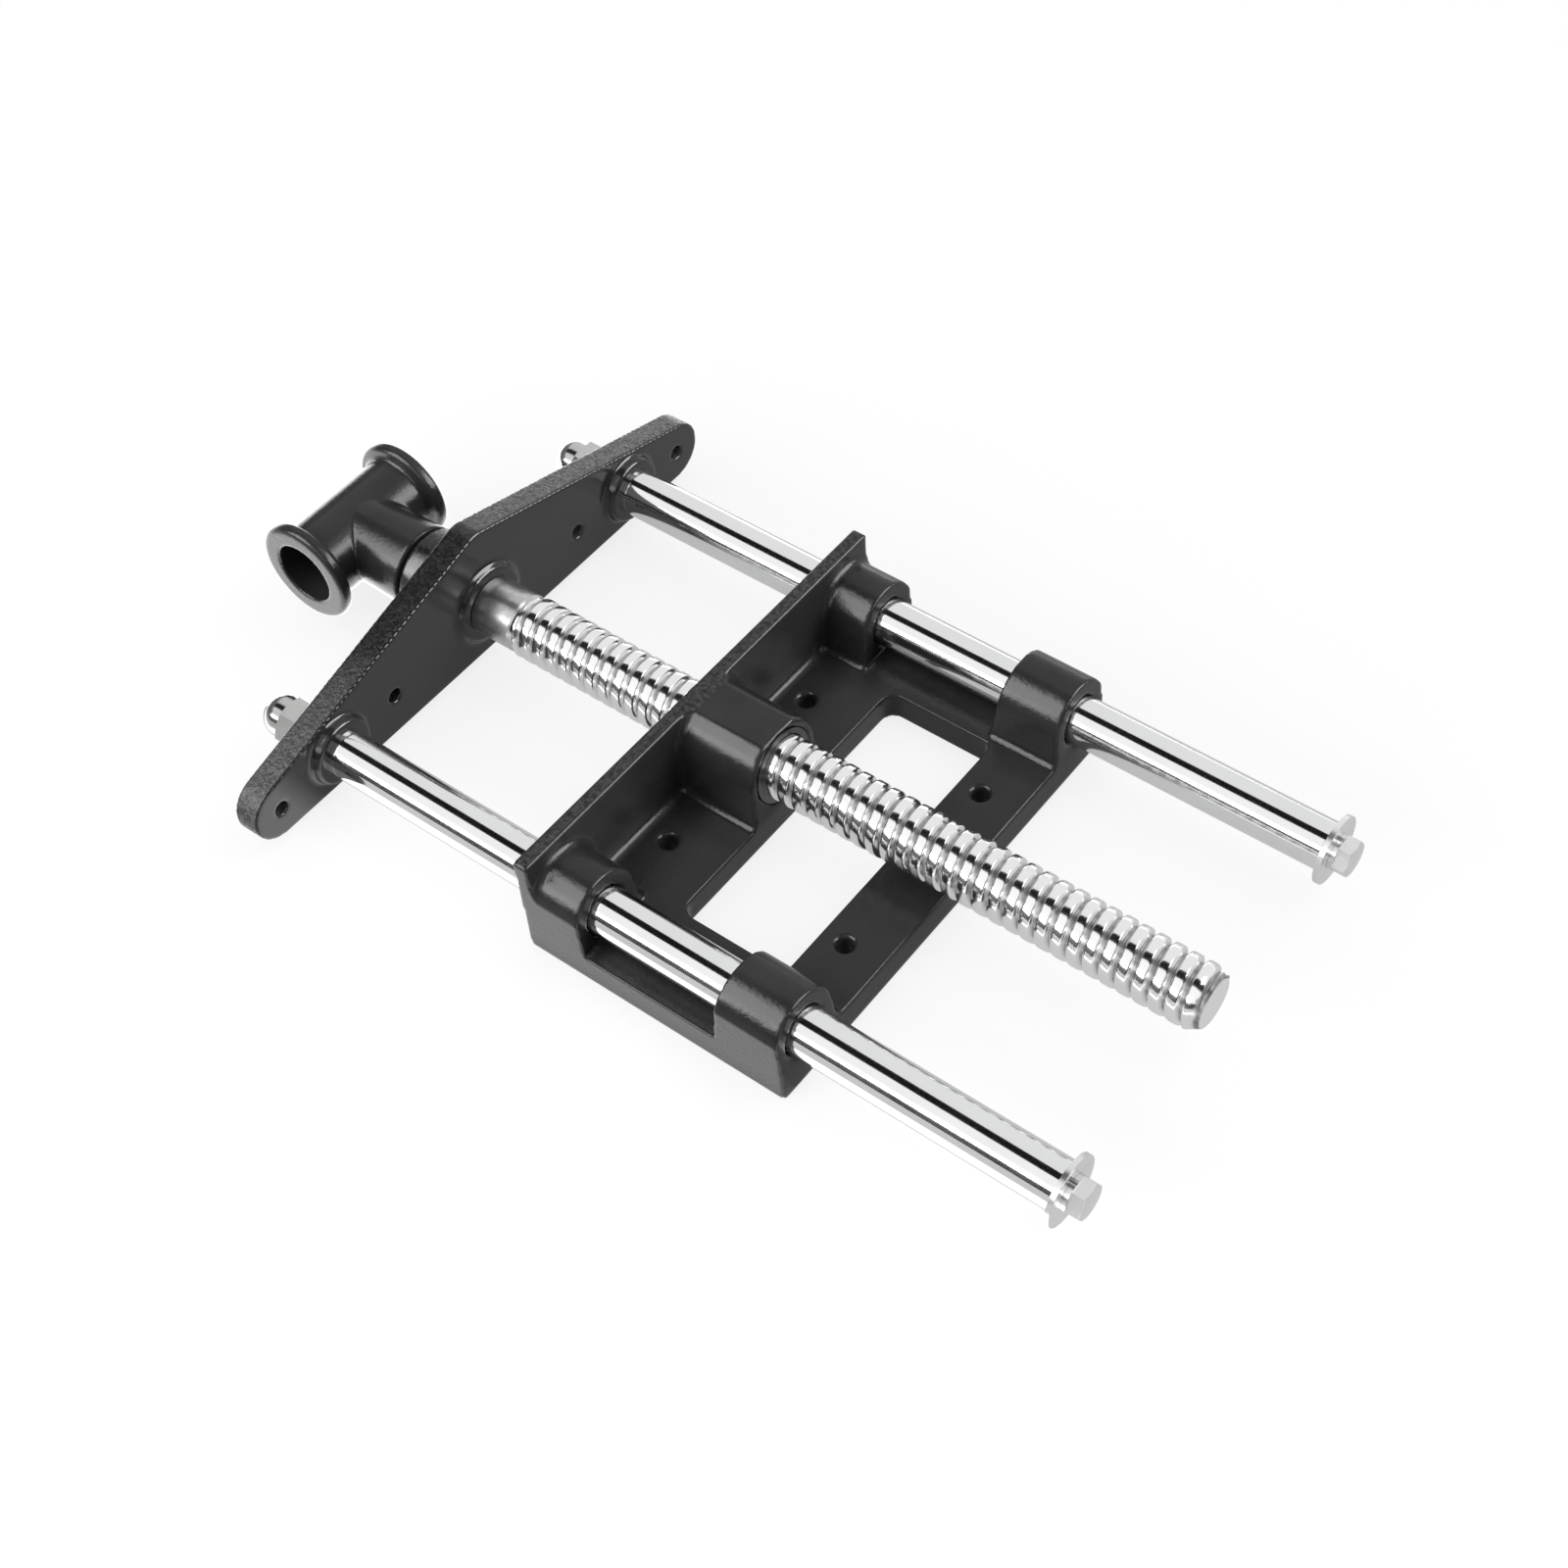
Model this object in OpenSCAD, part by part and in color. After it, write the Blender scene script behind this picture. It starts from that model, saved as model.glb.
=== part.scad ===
// Front vise for a woodworking bench, bolted under the bench edge.
// +X points from the front jaw to the tail, +Y to the left guide rod and +Z up.
// The origin is the middle of the four base screw holes, on the underside of the base.

/* [Jaw opening] */
// Gap between the two jaws as the vise stands
opening = 103; // [12:1:190]

/* [Rear casting] */
// Length of the base, from the jaw face to its rear edge
base_len = 117; // [105:1:150]
// Thickness of the base
base_t = 12; // [8:0.5:16]
// How far the foot of the jaw face stands back from its top edge
face_lean = 2; // [0.5:0.25:4]
// Thickness of the rear jaw at its top edge
plate_t = 6; // [5:0.5:10]
// Extra thickness of the rear jaw at the floor
plate_draft = 2; // [0.5:0.25:3]
// Length of the front rod bosses at the floor, from the jaw face
front_boss_len = 28.6; // [20:0.1:34]
// How far the rear faces of the front rod bosses lean forward at their top
front_boss_lean = 2.7; // [0.5:0.1:5]
// Length of the rear rod bosses at the floor, from the rear edge
rear_boss_len = 30.6; // [20:0.1:34]
// How far the front faces of the rear rod bosses lean back at their top
rear_boss_lean = 1.1; // [0.5:0.1:4]
// How far the casting's rear face leans forward, over the height of the rear jaw
rear_lean = 4.5; // [1:0.5:6]
// Length of the middle boss at the floor, from the jaw face
centre_boss_len = 43; // [38:0.5:48]
// How far the middle boss's rear face leans forward at its top
centre_boss_lean = 3; // [0.5:0.25:5]
// Extra half width of the middle boss at its foot
centre_boss_draft = 1.5; // [0.5:0.25:3]
// Wall of the rod bosses round the rods
boss_wall = 6.5; // [4:0.5:9]
// Extra width of a rod boss's inner side at its foot
rod_boss_draft = 3; // [0.5:0.1:4]
// Iron left between a rod and the casting's outer side
side_wall = 5.5; // [3:0.5:7]
// Length of the beam behind the window
rear_beam = 27.7; // [20:0.1:34]
// Floor left between the window and the rod bosses
window_land = 5; // [3.5:0.5:10]
// Radius of the window's two front corners
window_front_r = 6; // [2:0.5:10]
// Radius of the window's two rear corners
window_rear_r = 3; // [2:0.5:10]
// Radius of the fillets in the casting's inner corners
cast_r = 3.2; // [1.5:0.1:4]
// Radius of the base's two rear corners
base_corner_r = 2; // [1:0.5:6]

/* [Base screw holes] */
// Diameter of the base screw holes
hole_d = 6.5; // [4:0.5:9]
// Distance of the front holes from the jaw face
hole_front = 19.5; // [17:0.5:26]
// Distance of the rear holes from the rear edge
hole_rear = 17.5; // [10:0.5:19]
// Distance between a left and a right hole
hole_spacing_y = 84; // [64:1:110]
// Diameter of the shallow cone at a hole's mouth
hole_mouth_d = 8.5; // [7:0.5:12]

/* [Guide rods] */
// Diameter of the two guide rods
rod_d = 19; // [16:0.5:22]
// Distance between the rods' axes
rod_spacing = 170; // [150:1:190]
// Length of a rod, from its seat on the front jaw to its end face
rod_len = 318.5; // [300:0.5:380]
// Gap between the floor and a rod
rod_lift = 1.5; // [0.5:0.1:4]
// Chamfer at a rod's end
rod_chamfer = 1; // [0.5:0.1:2]
// Diameter of the stud that passes through the front jaw
stud_d = 12; // [10:0.5:14]

/* [Front jaw] */
// How far the front jaw reaches past each rod's axis
jaw_overhang = 44; // [34:1:60]
// Thickness of the front jaw
jaw_t = 11; // [8:0.5:16]
// Height of the front jaw's crown above the screw's axis
jaw_rise = 35.4; // [30:0.1:50]
// Depth of the front jaw's lower edge below the screw's axis
jaw_drop = 24; // [22:0.5:28]
// Radius of the front jaw's round ends
jaw_end_r = 13; // [11:0.5:18]
// Radius of the front jaw's crown
crown_r = 10; // [5:0.5:20]
// Diameter of the holes for the wooden jaw's screws
jaw_hole_d = 6; // [4:0.5:8]
// Distance between the two inner screw holes
inner_hole_spacing = 107; // [90:1:120]
// Length of the hub on the front jaw's outer side
hub_len = 18.8; // [12:0.1:30]
// Wall of the hub round the screw's spindle
hub_wall = 8.5; // [5:0.5:12]

/* [Lead screw] */
// Outer diameter of the thread
screw_d = 25; // [22:0.5:28]
// Distance that one turn moves the front jaw
screw_pitch = 6.5; // [5:0.5:8]
// Depth of the thread
thread_depth = 2.3; // [1.5:0.1:2.6]
// Length of the thread
thread_len = 303.5; // [290:0.5:360]
// Diameter of the smooth stretch next to the front jaw
journal_d = 23.8; // [21:0.1:25]
// Length of that smooth stretch
journal_len = 19.4; // [12:0.1:30]
// Diameter of the spindle that passes through the front jaw
spindle_d = 19; // [16:0.5:20]
// Height of the screw's axis above the rods' axes
screw_rise = 6; // [4:0.5:12]
// Chamfer at the thread's tail
tail_chamfer = 2; // [1:0.25:3]

/* [Nut] */
// Length of the nut in the middle boss
nut_len = 28; // [20:1:34]
// Wall of the nut outside the thread
nut_wall = 2.5; // [2:0.25:4]
// Iron round the sides of the nut
nut_side = 3.5; // [2:0.25:5]
// Iron over the top of the nut
nut_cover = 1.5; // [1:0.25:5]
// Diameter of the grub screw that holds the nut
grub_d = 6; // [4:0.5:8]
// Length of the grub screw
grub_len = 12; // [8:0.5:13]

/* [Handle tee] */
// Diameter of the hole for the handle
handle_d = 26; // [20:0.5:30]
// Wall of the tee's barrel
barrel_wall = 3.7; // [3:0.1:6]
// Length of the barrel
barrel_len = 61; // [48:0.1:80]
// Diameter of the barrel's end flanges
flange_d = 43.2; // [40:0.1:52]
// Thickness of the end flanges
flange_t = 5.5; // [4:0.1:7]
// Diameter of the bead beside each flange
bead_d = 36.5; // [34.5:0.1:39]
// Width of the bead
bead_w = 1.2; // [0.8:0.1:5]
// Diameter of the stem at its end face
stem_d = 35; // [30:0.5:40]
// Diameter of the stem where it enters the barrel
stem_neck_d = 32; // [26:0.5:33]
// Length of the stem, from its end face to the barrel's axis
stem_len = 38; // [32:0.5:60]
// Diameter of the pin that drives the screw
pin_d = 6; // [4:0.5:8]
// Thickness of the thrust washer between the stem and the hub
thrust_t = 1.5; // [1:0.25:4]
// Outer diameter of the thrust washer
thrust_d = 30; // [26:0.5:34]

/* [Nuts, bolts and washers] */
// Width across the flats of the dome nuts
dome_af = 18; // [17:0.5:24]
// Height of the hexagon of the dome nuts
dome_hex_h = 10; // [8:0.5:14]
// Whole height of the dome nuts
dome_h = 22; // [20:0.5:30]
// Outer diameter of the lock washers under the dome nuts
lock_d = 21; // [18:0.5:28]
// Thickness of those lock washers
lock_t = 2.5; // [1.5:0.1:4]
// Outer diameter of the flat washers at the rods' ends
end_washer_d = 27; // [25:0.5:34]
// Thickness of those flat washers
end_washer_t = 2; // [1:0.1:4]
// Outer diameter of the lock washers at the rods' ends
end_lock_d = 14; // [12:0.5:20]
// Thickness of those lock washers
end_lock_t = 2; // [1:0.1:4]
// Diameter of the bolts in the rods' ends
bolt_d = 8; // [6:0.5:10]
// Width across the flats of the bolt heads
bolt_af = 13; // [12:0.5:17]
// Height of the bolt heads
bolt_head_h = 5.3; // [4:0.1:8]
// Length of the bolts under the head
bolt_len = 20; // [12:0.5:30]

/* [Hidden] */

// Clearances: round fits on the radius, faces that rub, and the thread's two
fit_gap = 0.05;
face_gap = 0.1;
thread_tip_gap = 0.3;
thread_flank_gap = 0.25;
// Overrun of the cuts, and how deep a fillet strip is sunk into its walls
cut = 1;
sink = 0.8;
// How deep a fillet ring's thin edge bites into its boss
ring_bite = 0.25;
// Flats in an arc of an outline and in a fillet, and facets in one turn of the thread
arc_steps = 24;
fillet_steps = 8;
turn_steps = 24;
// Shares of the pitch taken by the thread's crest and by each flank
crest_share = 0.42;
flank_share = 0.12;
// Where the fan that closes the thread's ends meets the axis, as a share of the pitch
fan_share = 0.3;

// Small sizes that one piece carries
screw_room = 1;
rod_seat_h = 4;
rod_seat_d = 30;
rod_seat_top_d = 27;
screw_seat_h = 2.5;
screw_seat_foot_d = 40;
screw_seat_d = 32.4;
screw_seat_foot_h = 1.2;
hub_fillet_r = 3;
bore_chamfer = 1.2;
hole_mouth_h = 1;
stud_end_h = 14;
dome_bore_h = 17;
dome_d = 17;
split_w = 2;
tap_extra = 4;
spindle_in_tee = 22;
spindle_end_gap = 0.3;
pin_from_face = 11;
pin_past_axis = 8;
pin_recess = 0.5;
pin_end_gap = 0.2;
flange_edge_r = 2;
stem_edge = 1;
thread_edge = 1.2;
journal_groove_w = 1.2;
journal_groove = 0.5;
socket_af = 3;
socket_h = 3.5;

// Heights above the underside
rod_h = base_t + rod_lift + rod_d / 2;
screw_h = rod_h + screw_rise;
nut_od = screw_d + 2 * nut_wall;
plate_h = screw_h + nut_od / 2 + nut_cover;
jaw_low = screw_h - jaw_drop;

// Sizes and places across the vise
rod_y = rod_spacing / 2;
boss_r = rod_d / 2 + boss_wall;
rear_w = rod_spacing + rod_d + 2 * side_wall;
centre_r = nut_od / 2 + nut_side;
window_w = 2 * (rod_y - boss_r - window_land);
jaw_len = rod_spacing + 2 * jaw_overhang;
jaw_end_y = jaw_len / 2 - jaw_end_r;
rod_inner_y = rod_y - boss_r;
rod_foot_y = rod_inner_y - rod_boss_draft * (rod_h - base_t) / rod_h;
centre_foot_y = centre_r + centre_boss_draft * (screw_h - base_t) / screw_h;

// Places along the vise, from the foot of the holes to the tail
hole_spacing_x = base_len - hole_front - hole_rear;
face_x = -(hole_front + hole_spacing_x / 2);
rear_x = face_x + base_len;
rod_exit_x = rear_x - rear_lean * rod_h / plate_h;
rod_entry_x = face_x + face_lean * (1 - rod_h / plate_h);
front_boss_x = face_x + front_boss_len;
rear_boss_x = rear_x - rear_boss_len;
floor_x = face_x + plate_t + plate_draft;
core_x = face_x + plate_t / 2;
window_x = face_x + centre_boss_len;
beam_x = rear_x - rear_beam;
jaw_in_x = face_x - opening;
jaw_out_x = jaw_in_x - jaw_t;
rod_x = jaw_in_x + rod_seat_h;
rod_end_x = rod_x + rod_len;
tap_depth = bolt_len - end_washer_t - end_lock_t + tap_extra;
screw_seat_x = jaw_in_x + screw_seat_h;
journal_x = screw_seat_x + face_gap;
thread_x = journal_x + journal_len;
tail_x = thread_x + thread_len;
hub_x = jaw_out_x - hub_len;
stem_x = hub_x - face_gap - thrust_t;
tee_x = stem_x - stem_len;
pin_x = stem_x - pin_from_face;
nut_x = nut_rear_x(screw_h) - nut_len;
grub_x = nut_x + nut_len / 2;

// Slants of the casting's drafted faces
plate_slant = atan(plate_draft / (plate_h - base_t));
rod_boss_slant = atan(rod_boss_draft / rod_h);
centre_slant = atan(centre_boss_draft / screw_h);

// Outer shapes of the barrel and the threads
barrel_r = handle_d / 2 + barrel_wall;
root_r = screw_d / 2 - thread_depth;

function plate_rear_x(z) = face_x + plate_t + plate_draft * (plate_h - z) / (plate_h - base_t);
function nut_rear_x(z) = window_x - centre_boss_lean * (z - base_t) / (plate_h - base_t);
function arc(cx, cy, r, a0, a1, n) =
    [for (i = [0 : n]) let (a = a0 + (a1 - a0) * i / n) [cx + r * cos(a), cy + r * sin(a)]];

// A round bar along X
module bar(x, y, z, len, d, d2 = undef)
    translate([x, y, z]) rotate([0, 90, 0])
        cylinder(h = len, d1 = d, d2 = is_undef(d2) ? d : d2, $fn = 96);

// A flat outline in Y and Z, drawn out along X
module along_x(x, len)
    translate([x, 0, 0]) rotate([90, 0, 90]) linear_extrude(len) children();

// A flat outline in X and Z, drawn out across the whole width
module across(w)
    rotate([90, 0, 0]) linear_extrude(w, center = true) children();

// A ring turned about an X axis: its outline is radius, then distance along X
module turned_x(x, y, z, lean = 0)
    translate([x, y, z]) rotate([0, 90 - lean, 0]) rotate_extrude($fn = 96) children();

// A hollow corner's fillet: one wall is u = 0, leaning by the share draft, and the other is v = 0
module fillet_profile(r, draft_share = 0)
    polygon(concat(
        [[-sink - draft_share * r, r], [-sink, -sink], [r, -sink]],
        [for (p = arc(r, r, r, 270, 180, fillet_steps)) [p[0] - draft_share * p[1], p[1]]]
    ));

// A fillet along X at the foot of a wall that faces the given side
module foot_fillet_x(x0, x1, y, side, draft_share)
    translate([x0, side * y, base_t]) mirror([0, side > 0 ? 0 : 1, 0]) mirror([0, 1, 0])
        rotate([90, 0, 90]) linear_extrude(x1 - x0) fillet_profile(cast_r, draft_share);

// An upright fillet between the rear jaw and a boss's wall
module upright_fillet(y, side, height, wall_slant)
    translate([floor_x, side * y, base_t]) mirror([0, side > 0 ? 0 : 1, 0])
        rotate([-wall_slant, -plate_slant, 0]) translate([0, 0, -sink])
            mirror([1, -1, 0]) linear_extrude(height - base_t + sink) fillet_profile(cast_r);

// A fillet ring between the rear jaw and a round boss
module ring_fillet(y, z, r)
    turned_x(plate_rear_x(z), y, z, plate_slant) translate([r - ring_bite, 0]) fillet_profile(cast_r);

// A rod boss between two places along X, whose end faces lean together towards its top
module rod_boss(x0, x1, lean0, lean1, side) {
    boss_top = rod_h + boss_r;
    intersection() {
        union() {
            bar(x0, side * rod_y, rod_h, x1 - x0, 2 * boss_r);
            along_x(x0, x1 - x0) polygon([
                [side * (rod_inner_y - rod_boss_draft), 0],
                [side * rod_inner_y, rod_h],
                [side * (rod_y + boss_r), rod_h],
                [side * (rod_y + boss_r), 0]
            ]);
            foot_fillet_x(x0, x1, rod_foot_y, side, rod_boss_draft / rod_h);
        }
        across(2 * rear_w) polygon([
            [x0, -cut],
            [x0, base_t],
            [x0 + lean0, boss_top],
            [x0 + lean0, boss_top + cut],
            [x1 - lean1, boss_top + cut],
            [x1 - lean1, boss_top],
            [x1, base_t],
            [x1, -cut]
        ]);
    }
}

// The middle boss, with drafted sides and a leaning rear face
module centre_boss() {
    intersection() {
        union() {
            bar(core_x, 0, screw_h, base_len, 2 * centre_r);
            along_x(core_x, base_len) polygon([
                [-centre_r - centre_boss_draft, 0],
                [-centre_r, screw_h],
                [centre_r, screw_h],
                [centre_r + centre_boss_draft, 0]
            ]);
        }
        across(rear_w) polygon([
            [core_x - cut, 0],
            [core_x - cut, plate_h],
            [window_x - centre_boss_lean, plate_h],
            [window_x, base_t],
            [window_x, 0]
        ]);
    }
}

// Plan of the base, with its two round rear corners
module base_plan() {
    rear_y = rear_w / 2 - base_corner_r;
    polygon(concat(
        [[face_x - cut, -rear_w / 2]],
        arc(rear_x - base_corner_r, -rear_y, base_corner_r, -90, 0, fillet_steps),
        arc(rear_x - base_corner_r, rear_y, base_corner_r, 0, 90, fillet_steps),
        [[face_x - cut, rear_w / 2]]
    ));
}

// Plan of the window behind the middle boss
module window_plan() {
    front_y = window_w / 2 - window_front_r;
    rear_y = window_w / 2 - window_rear_r;
    polygon(concat(
        arc(window_x + window_front_r, -front_y, window_front_r, 180, 270, fillet_steps),
        arc(beam_x - window_rear_r, -rear_y, window_rear_r, 270, 360, fillet_steps),
        arc(beam_x - window_rear_r, rear_y, window_rear_r, 0, 90, fillet_steps),
        arc(window_x + window_front_r, front_y, window_front_r, 90, 180, fillet_steps)
    ));
}

// The casting before its holes are cut
module rear_jaw_body() {
    intersection() {
        union() {
            across(rear_w) polygon([
                [face_x + face_lean, 0],
                [face_x, plate_h],
                [face_x + plate_t, plate_h],
                [floor_x, base_t],
                [floor_x, 0]
            ]);
            translate([core_x, -rear_w / 2, 0]) cube([rear_x - core_x, rear_w, base_t]);
            centre_boss();
            translate([floor_x, 0, base_t]) across(rear_w)
                fillet_profile(cast_r, plate_draft / (plate_h - base_t));
            ring_fillet(0, screw_h, centre_r);
            for (side = [-1, 1]) {
                rod_boss(core_x, front_boss_x, 0, front_boss_lean, side);
                rod_boss(rear_boss_x, rear_x, rear_boss_lean, 0, side);
                foot_fillet_x(core_x, window_x, -centre_foot_y, -side, centre_boss_draft / screw_h);
                upright_fillet(centre_foot_y, side, screw_h, -centre_slant);
                upright_fillet(-rod_foot_y, -side, rod_h, -rod_boss_slant);
                ring_fillet(side * rod_y, rod_h, boss_r);
            }
        }
        linear_extrude(plate_h) base_plan();
        across(rear_w + 2 * cut) polygon([
            [face_x - cut, -cut],
            [face_x - cut, plate_h + cut],
            [rear_x - rear_lean, plate_h + cut],
            [rear_x - rear_lean, plate_h],
            [rear_x, 0],
            [rear_x, -cut]
        ]);
    }
}

module rear_jaw_casting() color([0.13, 0.13, 0.14]) {
    bore_d = rod_d + 2 * fit_gap;
    difference() {
        rear_jaw_body();
        translate([0, 0, -cut]) linear_extrude(base_t + cast_r + 2 * cut) window_plan();
        for (side = [-1, 1]) {
            bar(face_x - cut, side * rod_y, rod_h, base_len + 2 * cut, bore_d);
            bar(rod_entry_x - bore_chamfer, side * rod_y, rod_h, 2 * bore_chamfer,
                bore_d + 4 * bore_chamfer, bore_d);
            bar(rod_exit_x - bore_chamfer, side * rod_y, rod_h, bore_chamfer + 2 * cut,
                bore_d, bore_d + 2 * (bore_chamfer + 2 * cut));
            for (x = [-1, 1]) translate([x * hole_spacing_x / 2, side * hole_spacing_y / 2, 0]) {
                translate([0, 0, -cut]) cylinder(h = base_t + 2 * cut, d = hole_d, $fn = 48);
                translate([0, 0, base_t - hole_mouth_h])
                    cylinder(h = 2 * hole_mouth_h, d1 = hole_d, d2 = 2 * hole_mouth_d - hole_d, $fn = 48);
            }
        }
        bar(face_x - cut, 0, screw_h, nut_x - face_x + 2 * cut, screw_d + 2 * screw_room);
        bar(nut_x, 0, screw_h, centre_boss_len, nut_od + 2 * fit_gap);
        translate([grub_x, 0, -cut]) cylinder(h = screw_h, d = grub_d + 2 * fit_gap, $fn = 48);
    }
}

// A right-hand thread about the X axis, from before x0 to past x1
function thread_point(i, shift, r) =
    [screw_pitch * i / turn_steps + shift, r * cos(360 * i / turn_steps), r * sin(360 * i / turn_steps)];

module thread_solid(x0, x1, inner_r, outer_r, widen) {
    first = turn_steps * floor(x0 / screw_pitch);
    n = turn_steps * ceil((x1 - x0) / screw_pitch + 1);
    crest = screw_pitch * crest_share / 2 + widen;
    foot = crest + screw_pitch * flank_share;
    foot_row = [for (i = [0 : n + turn_steps]) thread_point(first + i, -foot, inner_r)];
    crest_row = [for (i = [0 : n]) thread_point(first + i, -crest, outer_r)];
    crest_row2 = [for (i = [0 : n]) thread_point(first + i, crest, outer_r)];
    foot_row2 = [for (i = [0 : n]) thread_point(first + i, foot, inner_r)];
    row1 = n + turn_steps + 1;
    row2 = row1 + n + 1;
    row3 = row2 + n + 1;
    hub = row3 + n + 1;
    hubs = [for (i = [first, first + n]) [screw_pitch * (i / turn_steps + fan_share), 0, 0]];
    strips = [
        for (i = [0 : n - 1], s = [[0, row1], [row1, row2], [row2, row3], [row3, turn_steps]])
            each [
                [s[0] + i, s[1] + i + 1, s[0] + i + 1],
                [s[0] + i, s[1] + i, s[1] + i + 1]
            ]
    ];
    front_loop = concat([for (i = [0 : turn_steps]) i], [row3, row2, row1]);
    rear_loop = concat([row1 + n, row2 + n, row3 + n], [for (i = [turn_steps : -1 : 0]) n + i]);
    m = len(front_loop);
    caps = [
        for (k = [0 : m - 1])
            each [
                [hub, front_loop[k], front_loop[(k + 1) % m]],
                [hub + 1, rear_loop[k], rear_loop[(k + 1) % m]]
            ]
    ];
    polyhedron(
        points = concat(foot_row, crest_row, crest_row2, foot_row2, hubs),
        faces = concat(strips, caps)
    );
}

module screw_nut() color([0.2, 0.2, 0.2])
    translate([0, 0, screw_h]) difference() {
        intersection() {
            bar(nut_x + fit_gap, 0, 0, nut_len + centre_boss_lean, nut_od);
            translate([0, 0, -screw_h]) across(nut_od + 2 * cut) polygon([
                [nut_x, 0],
                [nut_x, plate_h],
                [nut_rear_x(plate_h), plate_h],
                [nut_rear_x(0), 0]
            ]);
        }
        thread_solid(
            nut_x - screw_pitch, nut_x + nut_len + screw_pitch,
            root_r + thread_tip_gap, screw_d / 2 + thread_tip_gap, thread_flank_gap
        );
        bar(nut_x - cut, 0, 0, cut + thread_edge, screw_d + 2 * (thread_tip_gap + cut), 2 * root_r);
    }

module nut_grub_screw() color([0.3, 0.3, 0.31])
    translate([grub_x, 0, screw_h - nut_od / 2 - fit_gap - grub_len]) difference() {
        cylinder(h = grub_len, d = grub_d, $fn = 48);
        translate([0, 0, -cut]) cylinder(h = socket_h + cut, d = socket_af / cos(30), $fn = 6);
    }

// The front jaw's outline: two round ends and a crown, joined by tangents
module front_jaw_outline() {
    end_z = jaw_low + jaw_end_r;
    crown_z = screw_h + jaw_rise - crown_r;
    reach = norm([jaw_end_y, end_z - crown_z]);
    a = atan2(end_z - crown_z, jaw_end_y) + acos((crown_r - jaw_end_r) / reach);
    polygon(concat(
        arc(jaw_end_y, end_z, jaw_end_r, -90, a, arc_steps),
        arc(0, crown_z, crown_r, a, 180 - a, arc_steps),
        arc(-jaw_end_y, end_z, jaw_end_r, 180 - a, 270, arc_steps)
    ));
}

module front_jaw_casting() color([0.13, 0.13, 0.14]) {
    hub_d = spindle_d + 2 * hub_wall;
    difference() {
        union() {
            along_x(jaw_out_x, jaw_t) front_jaw_outline();
            for (side = [-1, 1])
                bar(jaw_in_x - sink, side * rod_y, rod_h, rod_seat_h + sink, rod_seat_d, rod_seat_top_d);
            bar(jaw_in_x - sink, 0, screw_h, screw_seat_h + sink, screw_seat_d);
            bar(jaw_in_x - sink, 0, screw_h, screw_seat_foot_h + sink, screw_seat_foot_d, screw_seat_d);
            bar(hub_x, 0, screw_h, hub_len + sink, hub_d);
            turned_x(jaw_out_x, 0, screw_h, 180) translate([hub_d / 2, 0]) fillet_profile(hub_fillet_r);
        }
        bar(hub_x - cut, 0, screw_h, screw_seat_x - hub_x + 2 * cut, spindle_d + 2 * fit_gap);
        for (side = [-1, 1]) {
            bar(jaw_out_x - cut, side * rod_y, rod_h, rod_x - jaw_out_x + 2 * cut, stud_d + 2 * fit_gap);
            bar(jaw_out_x - cut, side * jaw_end_y, jaw_low + jaw_end_r, jaw_t + 2 * cut, jaw_hole_d);
            bar(jaw_out_x - cut, side * inner_hole_spacing / 2, rod_h, jaw_t + 2 * cut, jaw_hole_d);
        }
    }
}

module guide_rod(side) color([0.85, 0.86, 0.88])
    translate([0, side * rod_y, rod_h]) difference() {
        union() {
            bar(rod_x + fit_gap, 0, 0, rod_len - rod_chamfer - fit_gap, rod_d);
            bar(rod_end_x - rod_chamfer, 0, 0, rod_chamfer, rod_d, rod_d - 2 * rod_chamfer);
            bar(jaw_out_x - lock_t - stud_end_h, 0, 0, rod_x - jaw_out_x + lock_t + stud_end_h + cut, stud_d);
        }
        bar(rod_end_x - tap_depth, 0, 0, tap_depth + cut, bolt_d + 2 * fit_gap);
    }

// A hexagon with its corners turned off at one end or at both
module hexagon(h, af, front, rear) {
    corner_r = af / 2 / cos(30);
    drop = (corner_r - af / 2 + cut) * tan(30);
    intersection() {
        rotate([0, 0, 30]) cylinder(h = h, r = corner_r, $fn = 6);
        rotate_extrude($fn = 96) polygon([
            [0, 0],
            [front ? af / 2 : corner_r + cut, 0],
            [corner_r + cut, front ? drop : h / 2],
            [corner_r + cut, rear ? h - drop : h / 2 + fit_gap],
            [rear ? af / 2 : corner_r + cut, h],
            [0, h]
        ]);
    }
}

module dome_nut(side) color([0.78, 0.77, 0.74])
    translate([jaw_out_x - lock_t - fit_gap, side * rod_y, rod_h]) rotate([0, -90, 0]) difference() {
        union() {
            hexagon(dome_hex_h, dome_af, true, true);
            rotate_extrude($fn = 96) polygon(concat(
                [[0, dome_hex_h - cut], [dome_d / 2, dome_hex_h - cut]],
                arc(0, dome_h - dome_d / 2, dome_d / 2, 0, 90, arc_steps)
            ));
        }
        translate([0, 0, -cut]) cylinder(h = dome_bore_h + cut, d = stud_d + 2 * fit_gap, $fn = 48);
    }

// A spring lock washer, cut through at one place
module lock_washer(x, side, bore_d, outer_d, t) color([0.62, 0.62, 0.62])
    translate([0, side * rod_y, rod_h]) difference() {
        bar(x + fit_gap, 0, 0, t - fit_gap, outer_d);
        bar(x - cut, 0, 0, t + 2 * cut, bore_d + 2 * fit_gap);
        translate([x - cut, -split_w / 2, 0]) cube([t + 2 * cut, split_w, outer_d]);
    }

module end_washer(side) color([0.75, 0.76, 0.78])
    translate([0, side * rod_y, rod_h]) difference() {
        bar(rod_end_x + fit_gap, 0, 0, end_washer_t - fit_gap, end_washer_d);
        bar(rod_end_x - cut, 0, 0, end_washer_t + 2 * cut, bolt_d + 2 * fit_gap);
    }

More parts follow.
